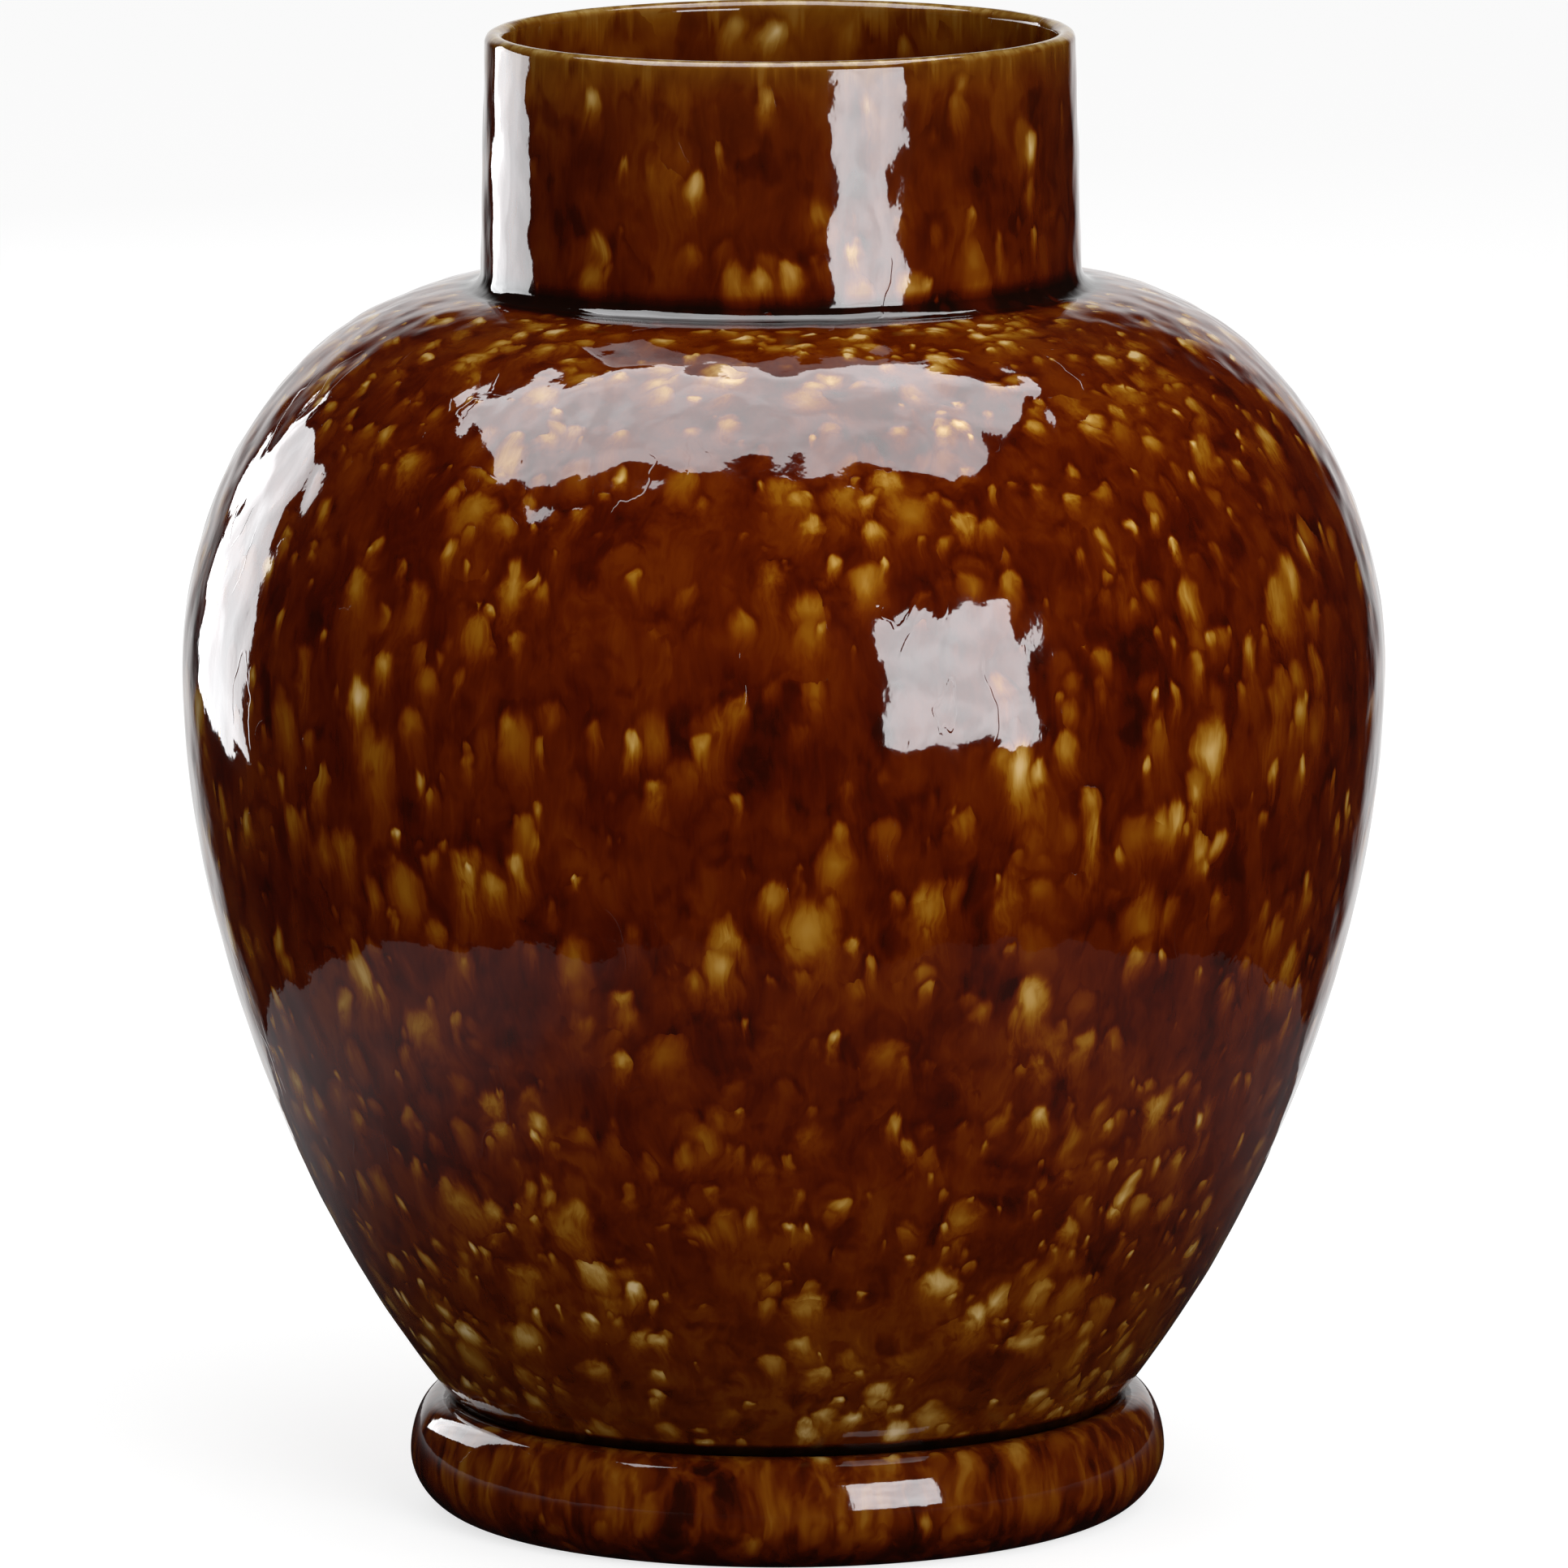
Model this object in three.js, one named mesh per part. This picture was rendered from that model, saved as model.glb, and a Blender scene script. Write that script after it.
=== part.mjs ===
// A large glazed stoneware vase: a wide ovoid body with a straight collar neck, standing on a
// rounded bead foot. It is built the way a big jar is built in a pottery, from separately thrown
// sections that are luted together with slip. Millimetres, +Z up, the origin at the centre of the
// face that the foot stands on.
import * as THREE from "three";

// Driving dimensions.
const HEIGHT = 400;
const BELLY_RADIUS = 161.7; // outside, at the widest
const BELLY_Z = 229.7; // height of the widest place, where the two body sections are luted
const NECK_TOP_RADIUS = 79; // outside
const NECK_BOTTOM_RADIUS = 80.4; // outside
const SHOULDER_Z = 331.7; // top of the shoulder, where the neck stands
const FOOT_RADIUS = 102.2; // outside, at the fullest part of the foot's bead

// Walls and joints.
const LIP_WALL = 5.1;
const NECK_WALL = 6;
const SHOULDER_WALL = 6.4;
const BELLY_WALL = 7;
const BASE_WALL = 8.4;
const SLIP_GAP = 0.3; // the film of slip in every luted joint
const BEVEL_RISE = 4; // the belly joint's bevel climbs this much through the wall

// The body's outline.
const SHOULDER_START_RADIUS = NECK_BOTTOM_RADIUS + 3;
const SHOULDER_FALL = 5; // degrees below level where the shoulder leaves the neck
const SHOULDER_REACH = 54.4; // how far the shoulder keeps that slope
const SHOULDER_DROP = 39; // how far above the widest place the wall is already upright
const BELLY_DROP = 72.2; // how far below it the wall is still upright
const BASE_SPLAY = 40.8; // degrees from upright where the body meets the foot
const BASE_REACH = 65; // how far up the body keeps that splay
const CREASE_RADIUS = 87; // the crease between the body and the foot
const CREASE_Z = 25.4;

// The floor and the foot.
const FLOOR_TOP = 18.5;
const FLOOR_THICKNESS = 9;
const FLOOR_RADIUS = 83.6;
const FOOT_INNER_RADIUS = 80;
const FOOT_BEAD_Z = 14.4; // height of the bead's fullest part
const FOOT_CROWN = { radius: 94, z: 30.4 };
const FOOT_REST = { inner: 82, outer: 90.5 }; // the flat ring that stands on the table
const FOOT_EASE = 1.2; // how high its eased inner edge reaches
const FOOT_CHIN = 6.5; // handles of the bead's curves: under it, beside it and over it
const FOOT_CURVE = 8.5;
const FOOT_BROW = 4.4;

// Luting coils: small fillets of clay pressed into a corner.
const NECK_COIL = 5;
const FLOOR_COIL = 9;
const COIL_EDGE = 0.5; // thickness of a coil's feathered edges

// How finely the turned outlines are faceted.
const SEGMENTS = 64; // around the vase
const SHOULDER_STEPS = 11;
const BELLY_STEPS = 13;
const LIP_STEPS = 6;
const BEAD_STEPS = 5; // each half of the foot's bead
const COIL_STEPS = 4;

const point = (radius, z) => new THREE.Vector2(radius, z);
const radians = THREE.MathUtils.degToRad;

/** Points along a curve that leaves `from` by the handle `leave` and reaches `to` by `arrive`. */
function sweep(from, leave, arrive, to, steps) {
  return new THREE.CubicBezierCurve(from, leave, arrive, to).getPoints(steps);
}

/** Points on an arc, with its angles in degrees from the outward radius, turning towards +Z. */
function arc(centre, radius, fromAngle, toAngle, steps) {
  return Array.from({ length: steps + 1 }, (_, i) => {
    const angle = radians(fromAngle + ((toAngle - fromAngle) * i) / steps);
    return point(centre.x + radius * Math.cos(angle), centre.y + radius * Math.sin(angle));
  });
}

/** The inner face of a wall: each point of a line that runs downwards, moved in along its normal. */
function innerFace(outer, wallAtStart, wallAtEnd) {
  return outer.map((p, i) => {
    const along = outer[Math.min(i + 1, outer.length - 1)].clone().sub(outer[Math.max(i - 1, 0)]);
    along.normalize();
    const wall = wallAtStart + ((wallAtEnd - wallAtStart) * i) / (outer.length - 1);
    return point(p.x + along.y * wall, p.y - along.x * wall);
  });
}

/** The place on a line that runs downwards where it crosses the height z. */
function crossing(line, z) {
  const i = line.findIndex((p, k) => k > 0 && p.y <= z);
  const [a, b] = [line[i - 1], line[i]];
  return a.clone().lerp(b, (a.y - z) / (a.y - b.y));
}

/** The part of a line that runs downwards which lies between two heights. */
function between(line, top, bottom) {
  const inside = line.filter((p) => p.y < top && p.y > bottom);
  return [crossing(line, top), ...inside, crossing(line, bottom)];
}

/** Turns a cross-section around +Z. A section that doesn't reach the axis closes on itself. */
function turned(name, section, material) {
  const onAxis = section[0].x === 0;
  const outline = onAxis ? section : [...section, section[0]];
  const geometry = new THREE.LatheGeometry(outline, SEGMENTS);
  geometry.rotateX(Math.PI / 2);
  const mesh = new THREE.Mesh(geometry, material);
  mesh.name = name;
  return mesh;
}

const glaze = new THREE.MeshStandardMaterial({ color: 0x5a2406, roughness: 0.06, metalness: 0 });
const neckGlaze = new THREE.MeshStandardMaterial({ color: 0x4c1d06, roughness: 0.06, metalness: 0 });
const footGlaze = new THREE.MeshStandardMaterial({ color: 0x3c1706, roughness: 0.07, metalness: 0 });
const bareClay = new THREE.MeshStandardMaterial({ color: 0x9c7a58, roughness: 0.85, metalness: 0 });

// The body's outer face, from the neck down to just under the foot's crease.
const shoulderTop = point(SHOULDER_START_RADIUS, SHOULDER_Z);
const widest = point(BELLY_RADIUS, BELLY_Z);
const crease = point(CREASE_RADIUS, CREASE_Z);
const fall = radians(SHOULDER_FALL);
const splay = radians(BASE_SPLAY);

const shoulderFace = sweep(
  shoulderTop,
  point(shoulderTop.x + SHOULDER_REACH * Math.cos(fall), shoulderTop.y - SHOULDER_REACH * Math.sin(fall)),
  point(widest.x, widest.y + SHOULDER_DROP),
  widest,
  SHOULDER_STEPS,
);
const bellyFace = sweep(
  widest,
  point(widest.x, widest.y - BELLY_DROP),
  point(crease.x + BASE_REACH * Math.sin(splay), crease.y + BASE_REACH * Math.cos(splay)),
  crease,
  BELLY_STEPS,
);
const baseBottom = FLOOR_TOP + SLIP_GAP;
const heel = point(crease.x - (crease.y - baseBottom) * Math.tan(splay), baseBottom);
// The inner face needs the outer one to run on below the floor before it is cut off level.
const runOn = point(heel.x - BASE_WALL * Math.sin(splay) * 2, heel.y - BASE_WALL * Math.cos(splay) * 2);

const shoulderInside = innerFace(shoulderFace, SHOULDER_WALL, BELLY_WALL);
const bellyInside = innerFace([...bellyFace, runOn], BELLY_WALL, BASE_WALL);

/** The collar neck: a straight thrown ring with a rounded lip. */
function neckCollar() {
  const lipRadius = LIP_WALL / 2;
  const lipCentre = point(NECK_TOP_RADIUS - lipRadius, HEIGHT - lipRadius);
  const foot = SHOULDER_Z + SLIP_GAP;
  const section = [
    point(NECK_BOTTOM_RADIUS - NECK_WALL, foot),
    point(NECK_BOTTOM_RADIUS, foot),
    ...arc(lipCentre, lipRadius, 0, 180, LIP_STEPS),
  ];
  return turned("neck_collar", section, neckGlaze);
}

/** The fillet of clay that fills the corner between the neck and the shoulder. */
function neckJointCoil() {
  const inner = NECK_BOTTOM_RADIUS + SLIP_GAP;
  const bottom = SHOULDER_Z + SLIP_GAP;
  const hollow = point(inner + COIL_EDGE + NECK_COIL, bottom + COIL_EDGE + NECK_COIL);
  const section = [
    point(inner, bottom),
    point(hollow.x, bottom),
    ...arc(hollow, NECK_COIL, 270, 180, COIL_STEPS),
    point(inner, hollow.y),
  ];
  return turned("neck_joint_coil", section, neckGlaze);
}

/** The upper body, from the neck's seat to the bevelled joint at the widest place. */
function shoulderSection() {
  const seatInner = NECK_BOTTOM_RADIUS - NECK_WALL;
  const bevelInner = point(BELLY_RADIUS - BELLY_WALL, BELLY_Z + BEVEL_RISE);
  const inside = shoulderInside.filter((p) => p.x > seatInner + 1 && p.y > bevelInner.y + 1);
  const underSeat = point(seatInner, inside[0].y);
  const section = [
    underSeat,
    ...inside,
    bevelInner,
    ...[...shoulderFace].reverse(),
    point(seatInner, SHOULDER_Z),
  ];
  return turned("shoulder_section", section, glaze);
}

/** The lower body, from the bevelled joint down to the floor slab. */
function bellySection() {
  const bevelOuter = point(BELLY_RADIUS, BELLY_Z - SLIP_GAP);
  const bevelInner = point(BELLY_RADIUS - BELLY_WALL, BELLY_Z + BEVEL_RISE - SLIP_GAP);
  const inside = between(bellyInside, BELLY_Z - 1, baseBottom);
  const outside = bellyFace.filter((p) => p.y < bevelOuter.y);
  const section = [bevelInner, ...inside, heel, ...outside.reverse(), bevelOuter];
  return turned("belly_section", section, glaze);
}

/** The thrown floor: a plain slab that the belly stands on. */
function floorSlab() {
  const bottom = FLOOR_TOP - FLOOR_THICKNESS;
  const section = [
    point(0, bottom),
    point(FLOOR_RADIUS, bottom),
    point(FLOOR_RADIUS, FLOOR_TOP),
    point(0, FLOOR_TOP),
  ];
  return turned("floor_slab", section, bareClay);
}

/** The fillet of clay around the inside corner, between the floor and the wall. */
function floorJointCoil() {
  const bottom = FLOOR_TOP + SLIP_GAP;
  const top = bottom + FLOOR_COIL;
  const wallAt = (z) => crossing(bellyInside, z).x - SLIP_GAP * 1.5;
  const wallFoot = point(wallAt(bottom), bottom);
  const wallHead = point(wallAt(top), top);
  const inner = point(wallFoot.x - FLOOR_COIL, bottom);
  const section = [
    inner,
    wallFoot,
    wallHead,
    ...sweep(
      point(wallHead.x - COIL_EDGE, top),
      point(wallFoot.x - COIL_EDGE, bottom + COIL_EDGE + 2),
      point(wallFoot.x - 2, bottom + COIL_EDGE),
      point(inner.x, bottom + COIL_EDGE),
      COIL_STEPS,
    ),
  ];
  return turned("floor_joint_coil", section, glaze);
}

/** The foot: a rounded bead with a rebate that takes the floor slab and hugs the body's heel. */
function footRing() {
  const crown = point(FOOT_CROWN.radius, FOOT_CROWN.z);
  const fullest = point(FOOT_RADIUS, FOOT_BEAD_Z);
  const rest = point(FOOT_REST.outer, 0);
  const rebateRadius = FLOOR_RADIUS + SLIP_GAP;
  const rebateZ = FLOOR_TOP - FLOOR_THICKNESS - SLIP_GAP;
  const lap = SLIP_GAP / Math.cos(splay);
  const heelLap = point(rebateRadius, crease.y - (crease.x + lap - rebateRadius) / Math.tan(splay));
  const creaseLap = point(crease.x + lap, crease.y);
  const underBead = sweep(
    rest,
    point(rest.x + FOOT_CHIN, 0),
    point(fullest.x, fullest.y - FOOT_CURVE),
    fullest,
    BEAD_STEPS,
  );
  const overBead = sweep(
    fullest,
    point(fullest.x, fullest.y + FOOT_CURVE),
    point(crown.x + FOOT_BROW, crown.y),
    crown,
    BEAD_STEPS,
  );
  const intoCrease = sweep(
    crown,
    point(crown.x - FOOT_BROW / 2, crown.y),
    point(creaseLap.x + COIL_EDGE, creaseLap.y + COIL_EDGE),
    creaseLap,
    COIL_STEPS,
  );
  const section = [
    point(FOOT_INNER_RADIUS, FOOT_EASE),
    point(FOOT_REST.inner, 0),
    ...underBead,
    ...overBead.slice(1),
    ...intoCrease.slice(1),
    heelLap,
    point(rebateRadius, rebateZ),
    point(FOOT_INNER_RADIUS, rebateZ),
  ];
  return turned("foot_ring", section, footGlaze);
}

const vase = new THREE.Group();
vase.name = "stoneware_vase";
vase.add(
  neckCollar(),
  neckJointCoil(),
  shoulderSection(),
  bellySection(),
  floorSlab(),
  floorJointCoil(),
  footRing(),
);

export default vase;
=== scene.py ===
"""A large glazed stoneware vase on a pale floor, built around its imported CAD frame.

Metres, +Z up, the origin at the centre of the face that the foot stands on. Every CAD section
of the vase gets one finished piece. All the pieces are cut from the same two skins, the outer
and the inner one, so the glaze and its waves run on from one section to the next.
"""

import math

import bpy
import numpy as np
from mathutils import Euler, Matrix, Vector, noise


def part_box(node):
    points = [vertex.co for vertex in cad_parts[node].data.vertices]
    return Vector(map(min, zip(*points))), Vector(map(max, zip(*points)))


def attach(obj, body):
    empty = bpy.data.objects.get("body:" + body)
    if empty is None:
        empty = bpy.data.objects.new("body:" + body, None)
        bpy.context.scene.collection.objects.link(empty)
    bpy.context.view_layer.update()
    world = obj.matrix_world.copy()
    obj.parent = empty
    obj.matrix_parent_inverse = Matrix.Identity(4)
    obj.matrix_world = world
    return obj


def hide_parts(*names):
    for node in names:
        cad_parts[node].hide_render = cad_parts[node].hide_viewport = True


MM = 0.001

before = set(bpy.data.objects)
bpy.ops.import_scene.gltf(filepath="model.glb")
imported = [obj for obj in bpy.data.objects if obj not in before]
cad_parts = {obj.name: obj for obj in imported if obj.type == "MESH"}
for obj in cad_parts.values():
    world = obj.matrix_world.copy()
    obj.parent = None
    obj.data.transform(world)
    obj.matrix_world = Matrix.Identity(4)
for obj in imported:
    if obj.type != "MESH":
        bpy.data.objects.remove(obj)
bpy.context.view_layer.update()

# ---------------------------------------------------------------------------------------------
# Sizes. The first ones are read from the frame, the rest are the outline's own.

NECK_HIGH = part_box("neck_collar")[1]
SHOULDER_LOW, SHOULDER_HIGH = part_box("shoulder_section")
SLAB_LOW, SLAB_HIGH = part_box("floor_slab")
FOOT_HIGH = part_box("foot_ring")[1]

HEIGHT = NECK_HIGH.z
NECK_BOTTOM_RADIUS = NECK_HIGH.x
NECK_TAPER = 1.4 * MM
NECK_TOP_RADIUS = NECK_BOTTOM_RADIUS - NECK_TAPER
SHOULDER_Z = SHOULDER_HIGH.z
BELLY_RADIUS = SHOULDER_HIGH.x
BELLY_Z = SHOULDER_LOW.z
FOOT_RADIUS = FOOT_HIGH.x
FOOT_CROWN_Z = FOOT_HIGH.z
FLOOR_TOP = SLAB_HIGH.z
FLOOR_BOTTOM = SLAB_LOW.z
FLOOR_RADIUS = SLAB_HIGH.x

LIP_RADIUS = 2.55 * MM
NECK_WALL = 6 * MM
SHOULDER_WALL = 6.4 * MM
BELLY_WALL = 7 * MM
BASE_WALL = 8.4 * MM
FILLET = 5 * MM
SLIP_GAP = 0.3 * MM

SHOULDER_START = 3 * MM
SHOULDER_FALL = math.radians(5)
SHOULDER_REACH = 54.4 * MM
SHOULDER_DROP = 39 * MM
BELLY_DROP = 72.2 * MM
BASE_SPLAY = math.radians(40.8)
BASE_REACH = 65 * MM
CREASE = (87 * MM, 25.4 * MM)
HEEL_DEPTH = 25 * MM
FOOT_BEAD_Z = 14.4 * MM
FOOT_CROWN_RADIUS = 93.5 * MM
FOOT_REST = (82 * MM, 90.5 * MM)
FOOT_INNER_RADIUS = 80 * MM
FLOOR_FILLET = 9 * MM

SHARP_EDGE = math.radians(50)
COLUMNS = 512
SEED = 7

# ---------------------------------------------------------------------------------------------
# The two skins, as lines of (radius, height) that start on top of the lip and run downwards.


def curve(start, leave, arrive, end, count=400):
    """Points of a cubic curve between start and end with the given handles."""
    t = np.linspace(0, 1, count)[:, None]
    start, leave, arrive, end = (np.array(p, float) for p in (start, leave, arrive, end))
    return (
        (1 - t) ** 3 * start
        + 3 * (1 - t) ** 2 * t * leave
        + 3 * (1 - t) * t**2 * arrive
        + t**3 * end
    )


def arc(centre, radius, from_degrees, to_degrees, count=60):
    """Points of an arc, its angles counted from the outward radius towards +Z."""
    angle = np.radians(np.linspace(from_degrees, to_degrees, count))
    return np.c_[centre[0] + radius * np.cos(angle), centre[1] + radius * np.sin(angle)]


def straight(start, end, count=60):
    """Points of a straight line."""
    return np.linspace(start, end, count)


def resample(line, step):
    """The same line with its points about a step apart."""
    length = np.r_[0, np.cumsum(np.hypot(*np.diff(line, axis=0).T))]
    count = max(2, int(round(length[-1] / step)) + 1)
    at = np.linspace(0, length[-1], count)
    return np.c_[np.interp(at, length, line[:, 0]), np.interp(at, length, line[:, 1])]


def lip_and_neck_lines():
    """The neck's outer and inner lines, from the top of the lip."""
    lip = (NECK_TOP_RADIUS - LIP_RADIUS, HEIGHT - LIP_RADIUS)
    fillet_top = (NECK_BOTTOM_RADIUS, SHOULDER_Z + FILLET)
    outer = np.r_[
        resample(arc(lip, LIP_RADIUS, 90, 0), 0.4 * MM),
        resample(straight((NECK_TOP_RADIUS, lip[1]), fillet_top), 1.4 * MM)[1:],
    ]
    inner = np.r_[
        resample(arc(lip, LIP_RADIUS, 90, 180), 0.4 * MM),
        resample(
            straight((lip[0] - LIP_RADIUS, lip[1]), (NECK_BOTTOM_RADIUS - NECK_WALL, SHOULDER_Z)),
            3 * MM,
        )[1:],
    ]
    return outer, inner


def body_curves():
    """The shoulder's and the belly's outer curves."""
    top = np.array([NECK_BOTTOM_RADIUS + SHOULDER_START, SHOULDER_Z])
    widest = np.array([BELLY_RADIUS, BELLY_Z])
    level = np.array([math.cos(SHOULDER_FALL), -math.sin(SHOULDER_FALL)])
    splay = np.array([math.sin(BASE_SPLAY), math.cos(BASE_SPLAY)])
    shoulder = curve(top, top + SHOULDER_REACH * level, widest + [0, SHOULDER_DROP], widest)
    belly = curve(widest, widest - [0, BELLY_DROP], CREASE + BASE_REACH * splay, CREASE)
    return shoulder, belly


def fillet_line(shoulder):
    """The concave line of the clay in the corner between the neck and the shoulder."""
    end_angle = 270 - math.degrees(SHOULDER_FALL)
    centre_r = NECK_BOTTOM_RADIUS + FILLET
    end_r = centre_r + FILLET * math.cos(math.radians(end_angle))
    end_z = np.interp(end_r, shoulder[:, 0], shoulder[:, 1])
    centre_z = end_z - FILLET * math.sin(math.radians(end_angle))
    return resample(arc((centre_r, centre_z), FILLET, 180, end_angle), 0.7 * MM)


def inner_curve(outer, wall_at_start, wall_at_end):
    """The inner face of a wall: a downward line moved inwards by the wall's thickness."""
    along = np.gradient(outer, axis=0)
    along /= np.linalg.norm(along, axis=1)[:, None]
    wall = np.linspace(wall_at_start, wall_at_end, len(outer))[:, None]
    return outer + wall * np.c_[along[:, 1], -along[:, 0]]


def foot_line():
    """The foot's outer line, out of the crease, over the bead and down to the table."""
    crease = np.array([CREASE[0] + 0.4 * MM, CREASE[1]])
    crown = np.array([FOOT_CROWN_RADIUS, FOOT_CROWN_Z])
    fullest = np.array([FOOT_RADIUS, FOOT_BEAD_Z])
    rest = np.array([FOOT_REST[1], 0])
    return np.r_[
        resample(curve(crease, crease + [1.2 * MM, 3.6 * MM], crown - [3 * MM, 0], crown), 0.8 * MM),
        resample(curve(crown, crown + [5.6 * MM, 0], fullest + [0, 6.6 * MM], fullest), 1 * MM)[1:],
        resample(curve(fullest, fullest - [0, 8 * MM], rest + [4.5 * MM, 0], rest), 1 * MM)[1:],
    ]


# ---------------------------------------------------------------------------------------------
# Turning the skins into surfaces.


class Skin:
    """A downward line turned around +Z, with the waves that the throwing and the glaze left in it.

    Its rows follow the line. s is the distance that the glaze has run from the top of the lip,
    and lean is how far it moves outwards for each step along s.
    """

    def __init__(self, line, start, faces_out=True):
        self.line = line
        self.s = start + np.r_[0, np.cumsum(np.hypot(*np.diff(line, axis=0).T))]
        along = np.gradient(line, axis=0)
        along /= np.linalg.norm(along, axis=1)[:, None]
        self.lean = along[:, 0]
        side = 1 if faces_out else -1
        self.normal = side * np.c_[-along[:, 1], along[:, 0]]
        self.waves = np.zeros((len(line), COLUMNS))


ANGLE = np.arange(COLUMNS) * 2 * math.pi / COLUMNS

# The place of each material in a piece's slots.
GLAZED = 0
BARE = 1


def smooth_noise(skin, across, along, seed):
    """Smooth noise between about -1 and 1 over a skin, its lumps across wide and along long."""
    offset = Vector((seed * 3.7, seed * 1.3, seed * 2.1))
    values = np.empty((len(skin.s), COLUMNS))
    for i, (radius, s) in enumerate(zip(skin.line[:, 0], skin.s)):
        for k, a in enumerate(ANGLE):
            where = Vector((radius * math.cos(a) / across, radius * math.sin(a) / across, s / along))
            values[i, k] = noise.noise(where + offset)
    return values


def bump_field(skin, count, random):
    """Low lumps and dimples where drops of glaze ended, each longer than it is wide."""
    field = np.zeros_like(skin.waves)
    for _ in range(count):
        s0 = random.uniform(skin.s[0], skin.s[-1])
        a0 = random.uniform(0, 2 * math.pi)
        width = random.uniform(2.4, 5.0) * MM
        length = width * random.uniform(1.0, 2.6)
        height = random.normal() * 0.030 * MM
        near = np.abs(skin.s - s0) < 3 * length
        radius = skin.line[near, 0][:, None]
        turn = (ANGLE - a0 + math.pi) % (2 * math.pi) - math.pi
        across = radius * turn[None, :] / width
        down = (skin.s[near][:, None] - s0) / length
        field[near] += height * np.exp(-across**2 - down**2)
    return field


# How deep the runs of glaze are, in millimetres, as (millimetres from the lip, depth).
WAVE_DEPTHS = [
    (0, 0.20), (60, 0.26), (74, 0.1), (90, 0.42), (150, 0.42), (210, 0.17), (440, 0.14),
    (446, 0.05), (500, 0.05),
]
LUMPS = 5200  # on the outer skin


def glaze_waves(skin, strength, random):
    """How far the glazed surface stands out from the turned line."""
    marks, depths = zip(*WAVE_DEPTHS)
    runs_here = np.interp(skin.s, np.array(marks) * MM, depths)[:, None]
    broad = 0.22 * smooth_noise(skin, 70 * MM, 90 * MM, 1)
    pooled = runs_here * smooth_noise(skin, 9.5 * MM, 13 * MM, 2)
    rippled = 0.22 * runs_here * smooth_noise(skin, 4.6 * MM, 7 * MM, 3)
    lumps = bump_field(skin, int(LUMPS * strength), random) / MM * (0.6 + 2.0 * runs_here)
    return strength * MM * (broad + pooled + rippled + lumps)


def joined(parts):
    """One line from parts that share their end points, and the row numbers of each part."""
    line = np.concatenate([part if i == 0 else part[1:] for i, part in enumerate(parts.values())])
    rows = {}
    first = 0
    for name, part in parts.items():
        rows[name] = range(first, first + len(part))
        first += len(part) - 1
    return line, rows


def outer_parts(neck, shoulder, belly):
    """The outer line of each section, from the lip down to the crease above the foot."""
    fillet = fillet_line(shoulder)
    shoulder_start = np.r_[fillet[-1:], shoulder[shoulder[:, 0] > fillet[-1, 0] + 0.2 * MM]]
    return {
        "neck": neck,
        "fillet": fillet,
        "shoulder": resample(shoulder_start, 1.8 * MM),
        "belly": resample(belly, 1.95 * MM),
    }


def inner_parts(neck, shoulder, belly):
    """The inner line of each section, from the lip down to the floor."""
    under_shoulder = inner_curve(shoulder, SHOULDER_WALL, BELLY_WALL)
    seat_radius = NECK_BOTTOM_RADIUS - NECK_WALL
    under_shoulder = under_shoulder[under_shoulder[:, 0] > seat_radius + 0.5 * MM]
    seat = straight((seat_radius, SHOULDER_Z), (seat_radius, under_shoulder[0, 1]))
    heel = np.array([CREASE[0] - HEEL_DEPTH * math.tan(BASE_SPLAY), CREASE[1] - HEEL_DEPTH])
    inside_belly = inner_curve(np.r_[belly, [heel]], BELLY_WALL, BASE_WALL)
    inside_belly = inside_belly[inside_belly[:, 1] > FLOOR_TOP]
    return {
        "neck": neck,
        "seat": resample(seat, 1.5 * MM),
        "shoulder": resample(np.r_[seat[-1:], under_shoulder], 5 * MM),
        "belly": resample(inside_belly, 6 * MM),
    }


def calm_at_lip(skin):
    """Lets the waves die down towards the lip."""
    skin.waves *= np.interp(skin.s, [0, 8 * MM], [0.3, 1])[:, None]


def build_skins():
    """The outer skin, the inner skin and the foot's, and the rows of each section."""
    random = np.random.default_rng(SEED)
    neck_outer, neck_inner = lip_and_neck_lines()
    shoulder, belly = body_curves()
    outer_line, cuts = joined(outer_parts(neck_outer, shoulder, belly))
    outer = Skin(outer_line, 0)
    outer.waves = glaze_waves(outer, 1, random)
    calm_at_lip(outer)

    inner_line, inner_cuts = joined(inner_parts(neck_inner, shoulder, belly))
    inner = Skin(inner_line, 0, faces_out=False)
    inner.waves = 0.5 * glaze_waves(inner, 0.6, random)
    calm_at_lip(inner)

    foot = Skin(foot_line(), outer.s[-1])
    foot.waves = 0.7 * glaze_waves(foot, 0.15, random)
    foot.waves *= np.interp(foot.line[:, 1], [0, 3 * MM], [0, 1])[:, None]
    return outer, cuts, inner, inner_cuts, foot


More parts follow.
